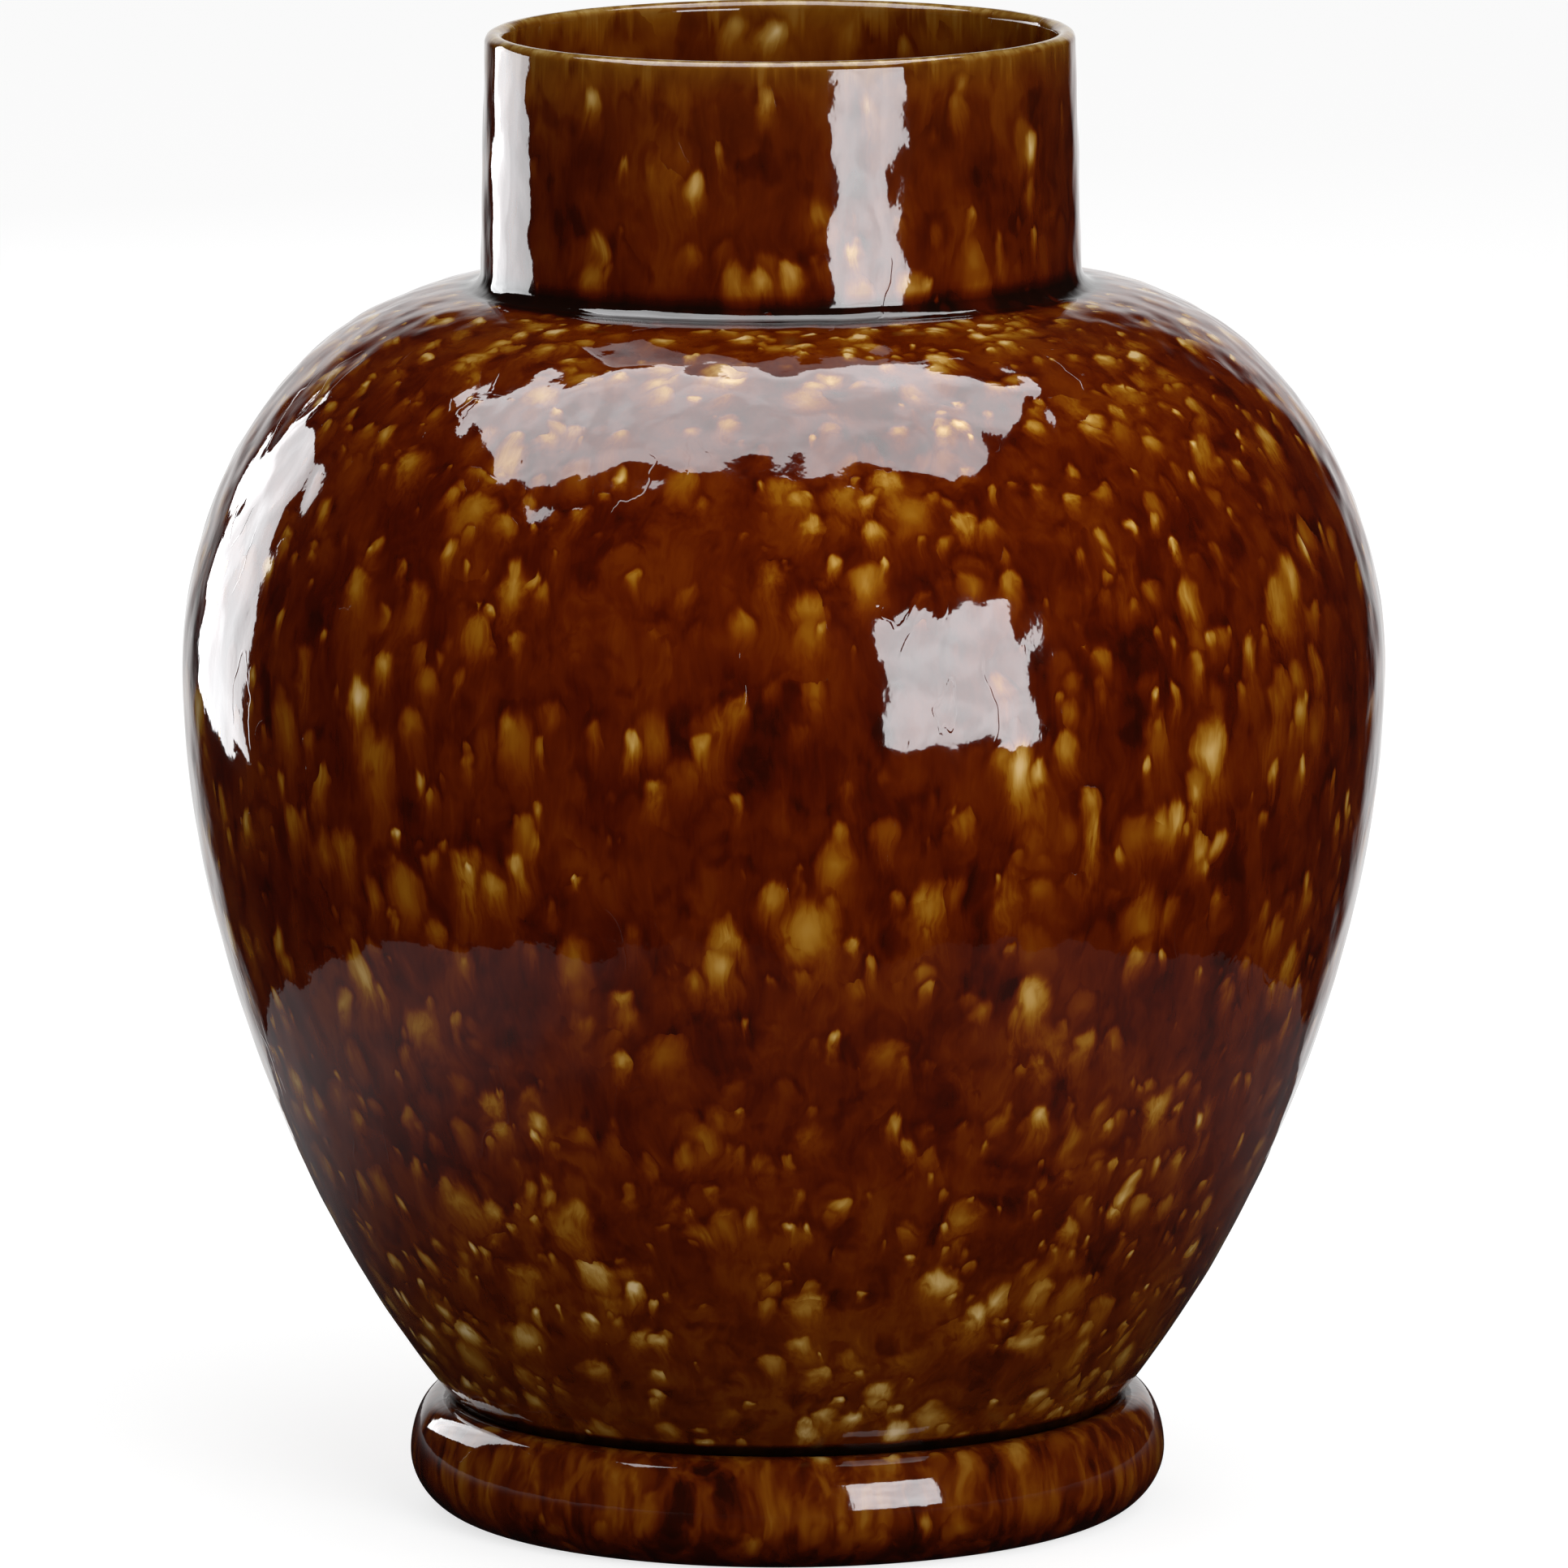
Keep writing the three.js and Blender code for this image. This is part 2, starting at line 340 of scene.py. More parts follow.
class Shell:
    """A closed piece, built from rings of points around the axis.

    flow holds each point's place on the unrolled glaze: its x and y, and the run s. fall holds
    the direction that the glaze runs in there, in the same coordinates. normals holds, for a ring
    where a skin runs on into the next piece, the skin's own normals and the band of faces that
    takes them.
    """

    def __init__(self, name):
        self.name = name
        self.points = []
        self.flow = []
        self.fall = []
        self.materials = []
        self.normals = {}

    def ring(self, radius, z, s, lean, material):
        """Adds one ring. radius and z are numbers or one value for each column."""
        radius = np.broadcast_to(radius, COLUMNS)
        z = np.broadcast_to(z, COLUMNS)
        cos, sin = np.cos(ANGLE), np.sin(ANGLE)
        self.points.append(np.c_[radius * cos, radius * sin, z])
        self.flow.append(np.c_[radius * cos, radius * sin, np.full(COLUMNS, s)])
        self.fall.append(np.c_[lean * cos, lean * sin, np.ones(COLUMNS)])
        self.materials.append(material)

    def follow(self, skin, rows, material=GLAZED):
        """Adds the rings of a skin's rows, in the order given."""
        for i in rows:
            lift = skin.waves[i]
            radius = skin.line[i, 0] + skin.normal[i, 0] * lift
            z = skin.line[i, 1] + skin.normal[i, 1] * lift
            self.ring(radius, z, skin.s[i], skin.lean[i], material)

    def corner(self, radius, z, s=0.0, material=GLAZED):
        """Adds one plain ring, for a face that isn't part of a skin."""
        self.ring(radius, z, s, 0.0, material)

    def build(self, materials, node):
        """Makes the object, closes the section on itself, and puts it in the CAD node's place."""
        rings = len(self.points)
        points = np.concatenate(self.points)
        a = np.arange(COLUMNS)
        b = (a + 1) % COLUMNS
        faces = []
        face_materials = []
        for i in range(rings):
            k = (i + 1) % rings
            quads = np.c_[i * COLUMNS + a, i * COLUMNS + b, k * COLUMNS + b, k * COLUMNS + a]
            faces.append(quads)
            face_materials.append(np.full(COLUMNS, self.materials[i]))
        faces = np.concatenate(faces)
        volume = signed_volume(points, faces)
        if volume < 0:
            faces = faces[:, ::-1]
        mesh = bpy.data.meshes.new(self.name)
        mesh.vertices.add(len(points))
        mesh.vertices.foreach_set("co", points.astype(np.float32).ravel())
        mesh.loops.add(faces.size)
        mesh.loops.foreach_set("vertex_index", faces.ravel().astype(np.int32))
        mesh.polygons.add(len(faces))
        mesh.polygons.foreach_set("loop_start", np.arange(0, faces.size, 4, dtype=np.int32))
        mesh.polygons.foreach_set("material_index", np.concatenate(face_materials).astype(np.int32))
        mesh.update(calc_edges=True)
        mesh.shade_smooth()
        mesh.set_sharp_from_angle(angle=SHARP_EDGE)
        for label, values in (("flow", self.flow), ("fall", self.fall)):
            attribute = mesh.attributes.new(label, "FLOAT_VECTOR", "POINT")
            attribute.data.foreach_set("vector", np.concatenate(values).astype(np.float32).ravel())
        if self.normals:
            self.keep_normals(mesh, faces)
        mesh.validate()
        for material in materials:
            mesh.materials.append(material)
        piece = bpy.data.objects.new(self.name, mesh)
        bpy.context.scene.collection.objects.link(piece)
        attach(piece, "root")
        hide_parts(node)
        return piece

    def keep_normals(self, mesh, faces):
        """Sets the normals of the rings in self.normals on their bands of faces."""
        custom = np.zeros((faces.size, 3), np.float32)
        flat = faces.ravel()
        loop_face = np.repeat(np.arange(len(faces)), 4)
        for ring, (normals, band) in self.normals.items():
            on_band = (loop_face >= band * COLUMNS) & (loop_face < (band + 1) * COLUMNS)
            on_ring = (flat >= ring * COLUMNS) & (flat < (ring + 1) * COLUMNS) & on_band
            custom[on_ring] = normals[flat[on_ring] - ring * COLUMNS]
        mesh.normals_split_custom_set(custom.tolist())


def signed_volume(points, quads):
    """The volume that a closed surface of quads holds, below zero if its faces point inwards."""
    a, b, c, d = (points[quads[:, k]] for k in range(4))
    first = np.einsum("ij,ij->i", a, np.cross(b, c))
    second = np.einsum("ij,ij->i", a, np.cross(c, d))
    return (first.sum() + second.sum()) / 6


def skin_normals(skin, row):
    """The normals along one row of a skin, waves included."""
    span = slice(max(row - 1, 0), row + 2)
    cos, sin = np.cos(ANGLE), np.sin(ANGLE)
    radius = skin.line[span, 0][:, None] + skin.normal[span, 0][:, None] * skin.waves[span]
    z = skin.line[span, 1][:, None] + skin.normal[span, 1][:, None] * skin.waves[span]
    points = np.stack([radius * cos, radius * sin, z], axis=-1)
    down = points[-1] - points[0]
    middle = points[1] if len(points) == 3 else points[0]
    around = np.roll(middle, -1, axis=0) - np.roll(middle, 1, axis=0)
    normals = np.cross(down, around)
    normals /= np.linalg.norm(normals, axis=1)[:, None]
    outwards = np.sum(normals[:, :2] * np.c_[cos, sin], axis=1).mean()
    return normals if outwards * skin.normal[row, 0] >= 0 else -normals


def neck_piece(outer, cuts, inner, inner_cuts, materials):
    """The collar, with its rounded lip."""
    shell = Shell("neck_collar_glazed")
    shell.follow(outer, cuts["neck"])
    last = len(shell.points) - 1
    shell.normals[last] = (skin_normals(outer, cuts["neck"][-1]), last - 1)
    shell.corner(NECK_BOTTOM_RADIUS - SLIP_GAP, SHOULDER_Z, outer.s[cuts["neck"][-1]])
    shell.follow(inner, reversed(inner_cuts["neck"][1:]))
    return shell.build(materials, "neck_collar")


def fillet_piece(outer, cuts, materials):
    """The clay that fills the corner between the neck and the shoulder."""
    shell = Shell("neck_joint_glazed")
    rows = cuts["fillet"]
    shell.follow(outer, rows)
    shell.normals[0] = (skin_normals(outer, rows[0]), 0)
    shell.normals[len(rows) - 1] = (skin_normals(outer, rows[-1]), len(rows) - 2)
    shell.corner(NECK_BOTTOM_RADIUS, SHOULDER_Z - 0.1 * MM, outer.s[rows[0]])
    return shell.build(materials, "neck_joint_coil")


def shoulder_piece(outer, cuts, inner, inner_cuts, materials):
    """The body's upper section."""
    shell = Shell("shoulder_glazed")
    rows = cuts["shoulder"]
    shell.follow(outer, rows)
    last = len(rows) - 1
    shell.normals[0] = (skin_normals(outer, rows[0]), 0)
    shell.normals[last] = (skin_normals(outer, rows[-1]), last - 1)
    shell.follow(inner, reversed(inner_cuts["shoulder"]))
    shell.follow(inner, reversed(inner_cuts["seat"][:-1]))
    return shell.build(materials, "shoulder_section")


def belly_piece(outer, cuts, inner, inner_cuts, materials):
    """The body's lower section, down to the heel that the foot hides."""
    shell = Shell("belly_glazed")
    rows = cuts["belly"]
    shell.follow(outer, rows)
    shell.normals[0] = (skin_normals(outer, rows[0]), 0)
    heel_radius = CREASE[0] - (CREASE[1] - FLOOR_TOP) * math.tan(BASE_SPLAY)
    shell.corner(heel_radius, FLOOR_TOP, outer.s[rows[-1]])
    shell.follow(inner, reversed(inner_cuts["belly"]))
    return shell.build(materials, "belly_section")


def floor_slab_piece(inner, materials):
    """The floor: glazed inside, bare clay underneath, with turning rings in both faces."""
    shell = Shell("floor_slab_thrown")
    top_radii = np.linspace(FLOOR_RADIUS, 0.05 * MM, 56)
    start = inner.s[-1]
    for radius in top_radii:
        ripple = 0.15 * MM * (math.sin(radius / (2.6 * MM)) - 1) * min(1, radius / (20 * MM))
        shell.ring(radius, FLOOR_TOP + ripple, start + FLOOR_RADIUS - radius, -1.0, GLAZED)
    for radius in top_radii[::-1]:
        inside_foot = radius < FOOT_INNER_RADIUS - 2 * MM
        groove = 0.25 * MM * (1 + math.sin(radius / (1.9 * MM))) * inside_foot
        shell.ring(radius, FLOOR_BOTTOM + groove, start + FLOOR_RADIUS - radius, 1.0, BARE)
    return shell.build(materials, "floor_slab")


def floor_fillet_piece(inner, inner_cuts, materials):
    """The clay pressed into the corner between the wall and the floor."""
    wall = inner.line
    foot_row = inner_cuts["belly"][-1]
    foot_radius = wall[foot_row, 0]
    top_z = FLOOR_TOP + FLOOR_FILLET
    top_radius = np.interp(-top_z, -wall[:, 1], wall[:, 0])
    step = 0.9 * MM
    face = resample(
        curve(
            (top_radius, top_z),
            (foot_radius + 0.6 * MM, FLOOR_TOP + 2.4 * MM),
            (foot_radius - 2 * MM, FLOOR_TOP + 0.5 * MM),
            (foot_radius - FLOOR_FILLET, FLOOR_TOP - 0.1 * MM),
        ),
        step,
    )
    shell = Shell("floor_joint_glazed")
    start = inner.s[foot_row] - FLOOR_FILLET
    for i, (radius, z) in enumerate(face):
        shell.ring(radius, z, start + i * step, -0.7, GLAZED)
    shell.corner(foot_radius + 1.2 * MM, FLOOR_TOP - 0.1 * MM, inner.s[foot_row])
    shell.corner(top_radius + 0.6 * MM, top_z, start)
    return shell.build(materials, "floor_joint_coil")


def foot_piece(foot, materials):
    """The bead foot, glazed down to the ring of bare clay that stands on the table."""
    shell = Shell("foot_ring_glazed")
    shell.follow(foot, range(len(foot.s)))
    shell.materials[-1] = BARE
    end = foot.s[-1]
    for share in (0.35, 0.7, 1):
        radius = FOOT_REST[1] + share * (FOOT_REST[0] - FOOT_REST[1])
        shell.corner(radius, 0, end, BARE)
    shell.corner(FOOT_REST[0] - 1.2 * MM, 0.5 * MM, end, BARE)
    for z in (1.8 * MM, 5 * MM, FLOOR_BOTTOM):
        shell.corner(FOOT_INNER_RADIUS, z, end, BARE)
    seat_radius = FLOOR_RADIUS + 0.2 * MM
    shell.corner(seat_radius, FLOOR_BOTTOM, end, BARE)
    shell.corner(seat_radius, CREASE[1] - 3.5 * MM, end, GLAZED)
    return shell.build(materials, "foot_ring")


# ---------------------------------------------------------------------------------------------
# Materials.

RUN_LENGTH = 0.5  # a little more than the outer skin's length


def srgb(text):
    """A hexadecimal sRGB colour as linear RGBA."""
    parts = [int(text[i : i + 2], 16) / 255 for i in (0, 2, 4)]
    linear = [p / 12.92 if p <= 0.04045 else ((p + 0.055) / 1.055) ** 2.4 for p in parts]
    return (*linear, 1.0)


class Shader:
    """Adds nodes to a tree. An input is either a plain value or another node's output."""

    def __init__(self, tree):
        self.tree = tree
        tree.nodes.clear()

    def node(self, kind, inputs=None, **settings):
        """Adds one node. Its inputs are named by socket name or number."""
        made = self.tree.nodes.new(kind)
        for key, value in settings.items():
            setattr(made, key, value)
        for key, value in (inputs or {}).items():
            self.feed(made.inputs[key], value)
        return made

    def feed(self, socket, value):
        """Links an output to a socket, or sets a plain value on it."""
        if isinstance(value, bpy.types.NodeSocket):
            self.tree.links.new(value, socket)
        else:
            socket.default_value = value

    def finish(self, shader, kind="ShaderNodeOutputMaterial"):
        """Makes a shader node the tree's result."""
        self.node(kind, {"Surface": shader.outputs[0]})

    def math(self, operation, a, b=0.0):
        return self.node("ShaderNodeMath", {0: a, 1: b}, operation=operation).outputs[0]

    def add(self, a, b):
        return self.math("ADD", a, b)

    def times(self, a, b):
        return self.math("MULTIPLY", a, b)

    def minus(self, a, b):
        return self.math("SUBTRACT", a, b)

    def vector(self, operation, a, b=(0, 0, 0)):
        made = self.node("ShaderNodeVectorMath", {0: a, 1: b}, operation=operation)
        return made.outputs["Value"] if operation in ("DOT_PRODUCT", "LENGTH") else made.outputs[0]

    def ramp(self, value, low, high, to_low=0.0, to_high=1.0):
        """Smoothly from to_low at low to to_high at high."""
        inputs = {"Value": value, "From Min": low, "From Max": high}
        inputs.update({"To Min": to_low, "To Max": to_high})
        return self.node("ShaderNodeMapRange", inputs, interpolation_type="SMOOTHSTEP").outputs[0]

    def noise(self, where, detail=2.0, roughness=0.5, output="Fac"):
        """Smooth noise whose lumps are about one unit of where across."""
        inputs = {"Vector": where, "Scale": 1.0, "Detail": detail, "Roughness": roughness}
        return self.node("ShaderNodeTexNoise", inputs, noise_dimensions="3D").outputs[output]

    def colours(self, value, stops):
        """A colour ramp. stops are (place, sRGB colour as hexadecimal)."""
        made = self.node("ShaderNodeValToRGB", {"Fac": value})
        elements = made.color_ramp.elements
        elements[0].position, elements[0].color = stops[0][0], srgb(stops[0][1])
        elements[1].position, elements[1].color = stops[-1][0], srgb(stops[-1][1])
        for place, colour in stops[1:-1]:
            elements.new(place).color = srgb(colour)
        return made.outputs["Color"]

    def along(self, s, points):
        """A value that depends on the run s, from (millimetres, value) points."""
        made = self.node("ShaderNodeFloatCurve", {"Value": self.times(s, 1 / RUN_LENGTH)})
        line = made.mapping.curves[0]
        line.points[0].location = (points[0][0] * MM / RUN_LENGTH, points[0][1])
        line.points[1].location = (points[-1][0] * MM / RUN_LENGTH, points[-1][1])
        for place, value in points[1:-1]:
            line.points.new(place * MM / RUN_LENGTH, value)
        for point in line.points:
            point.handle_type = "VECTOR"
        made.mapping.update()
        return made.outputs["Value"]

    def mix(self, share, a, b):
        """The colour a, with a share of the colour b."""
        return self.node("ShaderNodeMix", {0: share, 6: a, 7: b}, data_type="RGBA").outputs[2]


def new_material(name):
    """A material and the shader that fills it."""
    material = bpy.data.materials.new(name)
    material.use_nodes = True
    return material, Shader(material.node_tree)


# The glaze from where it is thickest, nearly black, to the thin cream where it has run off.
GLAZE_COLOURS = [
    (0.00, "0b0503"),
    (0.06, "170703"),
    (0.13, "300902"),
    (0.20, "480f01"),
    (0.28, "5b1a01"),
    (0.37, "6e2a02"),
    (0.46, "803f05"),
    (0.56, "93590c"),
    (0.66, "a6711f"),
    (0.76, "b7893c"),
    (0.88, "caa25c"),
    (1.00, "dcbc86"),
]
OLIVE_COLOURS = [
    (0.00, "0b0804"),
    (0.13, "270f04"),
    (0.28, "4e2306"),
    (0.46, "6f460f"),
    (0.66, "937338"),
    (0.85, "b89f6b"),
    (1.00, "d8c6a0"),
]

# How the glaze changes along its run, as (millimetres from the lip, value). The neck ends at
# 64, the fillet at 71, the shoulder at 211 and the belly at 433, where the foot starts.
BARENESS = [
    (0, 0.28), (6, 0.15), (16, 0.06), (30, 0.02), (64, 0.03), (80, 0.10), (120, 0.05),
    (200, 0.0), (300, 0.02), (380, 0.05), (425, 0.05), (447, 0.07), (460, 0.06), (500, 0.0),
]
BRIGHTNESS = [
    (0, 0.0), (60, 0.02), (76, 0.30), (100, 0.22), (135, 0.12), (200, 0.02), (330, 0.02),
    (390, 0.12), (425, 0.16), (434, 0.06), (440, 0.0), (500, 0.0),
]
# Pooled glaze and painted shade: near-black glaze in the corner under the neck, in the crease above
# the foot and on the underside of the bead, where it meets the floor. Further along the run it also
# darkens the inside floor.
POOLED_GLAZE_AND_PAINTED_SHADE = [
    (0, 0), (62, 0), (66, 0.8), (72, 0.8), (75, 0.0), (422.6, 0.0), (423.4, 0.97), (437, 0.95),
    (440, 0.1), (462, 0.0), (473, 0.55), (500, 0.8),
]
OLIVE = [
    (0, 0.8), (10, 0.4), (30, 0.25), (70, 0.1), (130, 0.0), (330, 0.1), (400, 0.45),
    (436, 0.6), (445, 0.3), (500, 0.3),
]

# What share of the places in a layer holds a drop, for layers of each size.
DROP_SHARES = {
    "large": [
        (0, 0.0), (14, 0.6), (60, 0.7), (76, 1.0), (140, 0.95), (200, 0.75), (300, 0.9),
        (400, 0.85), (434, 0.8), (440, 0.3), (500, 0.3),
    ],
    "medium": [
        (0, 0.0), (12, 0.6), (60, 0.75), (76, 1.0), (140, 0.9), (200, 0.7), (300, 0.9),
        (390, 1.0), (436, 1.0), (442, 0.4), (500, 0.4),
    ],
    "small": [
        (0, 0.0), (60, 0.25), (76, 0.7), (200, 0.3), (330, 0.5), (390, 0.9), (434, 0.9),
        (440, 0.1), (500, 0.1),
    ],
}

# The layers of drops, from the faintest up. Each one has: the spacing of its places across and
# along the run in millimetres, its seed, the half width and the fading length of a drop in
# spacings, its size, how thin its thickest drops are, how much thinner the others get, and how
# far their cores shine out.
DROP_LAYERS = [
    (13, 26, 6, 0.42, 0.45, "every place", 0.24, 0.12, 0.16),
    (18, 38, 1, 0.40, 0.42, "large", 0.36, 0.22, 0.34),
    (16, 35, 2, 0.40, 0.42, "large", 0.34, 0.24, 0.34),
    (10, 24, 3, 0.40, 0.40, "medium", 0.34, 0.24, 0.34),
    (9, 22, 4, 0.39, 0.40, "medium", 0.36, 0.26, 0.34),
    (6, 12, 5, 0.33, 0.30, "small", 0.40, 0.30, 0.24),
]


def scaled(g, flow, across, along, shift=0.0):
    """The run's coordinates in lumps across wide and along long."""
    where = g.vector("MULTIPLY", flow, (1 / across, 1 / across, 1 / along))
    return g.vector("ADD", where, (shift, shift * 1.7, shift * 0.6))


def wander(g, flow, across, along, reach_across, reach_along, shift):
    """The run's coordinates, pushed about by noise in lumps across wide and along long."""
    lumps = g.noise(scaled(g, flow, across, along, shift), 1.0, output="Color")
    push = g.vector("SUBTRACT", lumps, (0.5, 0.5, 0.5))
    return g.vector("ADD", flow, g.vector("MULTIPLY", push, (reach_across, reach_across, reach_along)))


def lift(g, base, strength, peak):
    """Brings base up towards peak, by strength."""
    return g.add(base, g.times(g.math("MAXIMUM", g.minus(peak, base), 0.0), strength))


def drop_layer(g, flow, fall, width, length, seed, head, tail, share):
    """Drops of thin glaze, each an arch: round at the top, fading as it runs down.

    width and length are the spacing of the drops across and along the run. head and tail are
    the half width and the fading length, in spacings. share says how many places hold a drop.
    Gives how far inside a drop a point is, how near its bright core, how deep in the dark rim
    above it, and the drop's own random tone.
    """
    spacing = (1 / width, 1 / width, 1 / length)
    place = g.vector("MULTIPLY", flow, spacing)
    place = g.vector("ADD", place, (seed * 7.3, seed * 3.1, seed * 5.7))
    down = g.vector("NORMALIZE", g.vector("MULTIPLY", fall, spacing))
    cells = g.node(
        "ShaderNodeTexVoronoi",
        {"Vector": place, "Scale": 1.0, "Randomness": 0.8},
        voronoi_dimensions="3D",
        feature="F1",
    )
    chance, tone, girth = g.node("ShaderNodeSeparateColor", {"Color": cells.outputs["Color"]}).outputs
    offset = g.vector("SUBTRACT", place, cells.outputs["Position"])
    along = g.vector("DOT_PRODUCT", offset, down)
    across = g.minus(g.vector("DOT_PRODUCT", offset, offset), g.times(along, along))
    across = g.math("MAXIMUM", across, 0.0)
    run = g.add(along, 0.2)
    above = g.math("MINIMUM", run, 0.0)
    beneath = g.math("MAXIMUM", run, 0.0)

    size = g.times(g.add(g.times(girth, 0.75), 0.55), head)
    half_width = g.times(size, g.ramp(beneath, 0.0, 0.5, 0.85, 1.2))
    side = g.math("DIVIDE", across, g.times(half_width, half_width))
    cap = g.times(size, 1.15 * width / length)
    top = g.math("DIVIDE", above, cap)
    reach = g.math("SQRT", g.add(side, g.times(top, top)))
    solid = g.ramp(run, -0.05, 0.35, 0.66, 0.05)
    inside = g.times(g.ramp(reach, solid, 1.14, 1.0, 0.0), g.ramp(beneath, 0.25, 0.62, 1.0, 0.0))

    from_top = g.math("MAXIMUM", g.add(run, g.times(cap, 0.6)), 0.0)
    fading = g.math("EXPONENT", g.math("DIVIDE", from_top, g.times(g.add(tone, 0.6), -tail)))
    core_run = g.math("DIVIDE", g.add(run, g.times(cap, 0.15)), g.times(cap, 0.75))
    core = g.add(g.times(side, 3.0), g.times(core_run, core_run))
    core = g.math("EXPONENT", g.times(core, -1.0))
    rim = g.times(g.ramp(reach, 1.0, 1.8, 1.0, 0.0), g.ramp(run, -0.1, 0.12, 1.0, 0.0))
    absent = g.minus(1.0, share)
    present = g.ramp(chance, absent, g.add(absent, 0.3))
    drop = g.times(g.times(inside, fading), present)
    return drop, g.times(core, present), g.times(rim, present), tone


def ground_thinness(g, s, loose, threads):
    """How thin the glaze is between the drops: slow veils, blots, threads and the foot's bands."""
    veil = g.noise(scaled(g, loose, 15 * MM, 34 * MM, 5.0), 3.0, 0.55)
    blots = g.noise(scaled(g, loose, 11 * MM, 15 * MM, 9.0))
    bands = g.noise(scaled(g, loose, 5.5 * MM, 40 * MM, 11.0))
    ground = g.add(g.ramp(veil, 0.30, 0.74, 0.16, 0.32), g.along(s, BARENESS))
    ground = g.times(ground, g.ramp(blots, 0.30, 0.46, 0.68, 1.0))
    ground = g.add(ground, g.times(g.minus(threads, 0.5), 0.09))
    on_foot = g.ramp(s, 436 * MM, 440 * MM)
    return g.add(ground, g.times(on_foot, g.ramp(bands, 0.38, 0.68, -0.06, 0.18)))


def add_drops(g, s, flow, fall, loose, threads, thin):
    """Lays every layer of drops on the ground. Gives the thinness and the relief of the drops."""
    shares = {size: g.along(s, points) for size, points in DROP_SHARES.items()}
    shares["every place"] = 1.0
    brightness = g.along(s, BRIGHTNESS)
    grain = g.ramp(threads, 0.32, 0.62, 0.58, 1.08)
    crowd = g.ramp(g.noise(scaled(g, flow, 55 * MM, 60 * MM, 21.0), 1.0), 0.34, 0.62, 0.5, 1.1)
    relief = 0.0
    for width, length, seed, head, tail, size, faintest, more, shine in DROP_LAYERS:
        share = g.times(crowd, shares[size])
        drop, core, rim, tone = drop_layer(
            g, loose, fall, width * MM, length * MM, seed, head, tail, share
        )
        thin = g.times(thin, g.minus(1.0, g.times(rim, 0.24)))
        body = g.add(g.times(tone, more), g.add(g.times(brightness, 0.7), faintest))
        thin = lift(g, thin, g.times(drop, grain), body)
        peak = g.add(g.times(g.times(tone, tone), 0.56), g.add(brightness, faintest + shine - 0.2))
        thin = lift(g, thin, core, peak)
        relief = g.add(relief, g.times(g.minus(drop, g.times(core, 0.7)), min(width, 12) / 12))
    return thin, relief


def add_lip(g, s, flow, thin):
    """Thins the glaze on the lip, where it has run off, and in faint streaks below it."""
    streaks = g.noise(scaled(g, flow, 4.6 * MM, 60 * MM, 4.0), 3.0, 0.6)
    streak_end = g.ramp(streaks, 0.34, 0.70, 0.5 * MM, 13 * MM)
    off_edge = g.ramp(g.minus(s, streak_end), -7 * MM, 2 * MM, 1.0, 0.0)
    thin = lift(g, thin, g.times(off_edge, 0.75), g.ramp(streaks, 0.35, 0.7, 0.32, 0.56))
    lip = g.ramp(s, 1.4 * MM, 3.4 * MM, 1.0, 0.0)
    return lift(g, thin, g.times(lip, 0.8), g.ramp(streaks, 0.3, 0.7, 0.50, 0.88))


def bump_height(g, flow, loose, relief):
    """The glaze's finest relief in millimetres: drops, a rippled skin and a few upright ridges."""
    skin = g.noise(scaled(g, flow, 3.4 * MM, 4.6 * MM, 6.0), 2.0, 0.45)
    outline = g.noise(scaled(g, loose, 13 * MM, 120 * MM, 14.0), 0.0)
    where = g.noise(scaled(g, flow, 30 * MM, 40 * MM, 17.0), 0.0)
    ridge = g.ramp(g.math("ABSOLUTE", g.minus(outline, 0.5)), 0.0, 0.014, 1.0, 0.0)
    ridge = g.times(ridge, g.ramp(where, 0.60, 0.68))
    return g.add(g.times(ridge, 0.03), g.add(g.times(skin, 0.035), g.times(relief, 0.02)))


def glaze_pattern(g):
    """The glaze over the whole vase: its thinness from 0 to 1 with painted shade in the corners and
    under the bead, its olive share, its bump in mm.
    """
    flow = g.node("ShaderNodeAttribute", attribute_name="flow").outputs["Vector"]
    fall = g.node("ShaderNodeAttribute", attribute_name="fall").outputs["Vector"]
    s = g.node("ShaderNodeSeparateXYZ", {0: flow}).outputs["Z"]
    loose = wander(g, flow, 16 * MM, 26 * MM, 10 * MM, 10 * MM, 3.1)
    loose = wander(g, loose, 4 * MM, 7 * MM, 2.6 * MM, 3 * MM, 8.4)
    loose = wander(g, loose, 1.2 * MM, 7 * MM, 0.4 * MM, 2 * MM, 5.2)
    threads = g.noise(scaled(g, loose, 1.3 * MM, 17 * MM, 2.0), 3.0, 0.55)
    thin = ground_thinness(g, s, loose, threads)
    thin, relief = add_drops(g, s, flow, fall, loose, threads, thin)
    thin = add_lip(g, s, flow, thin)
    # Pooled glaze and painted shade: near black in the corner under the neck, the crease above the
    # foot and under the bead.
    thin = g.times(thin, g.minus(1.0, g.along(s, POOLED_GLAZE_AND_PAINTED_SHADE)))
    return thin, g.along(s, OLIVE), bump_height(g, flow, loose, relief)


def glaze_material(name):
    """Glossy iron-brown glaze with amber drops and runs, and painted shade in the corners and under
    the bead.
    """
    material, g = new_material(name)
    thin, olive, height = glaze_pattern(g)
    colour = g.mix(olive, g.colours(thin, GLAZE_COLOURS), g.colours(thin, OLIVE_COLOURS))
    bump = g.node("ShaderNodeBump", {"Height": height, "Strength": 1.0, "Distance": MM})
    shader = g.node(
        "ShaderNodeBsdfPrincipled",
        {"Base Color": colour, "Roughness": 0.04, "IOR": 1.5, "Normal": bump.outputs["Normal"]},
    )
    g.finish(shader)
    return material


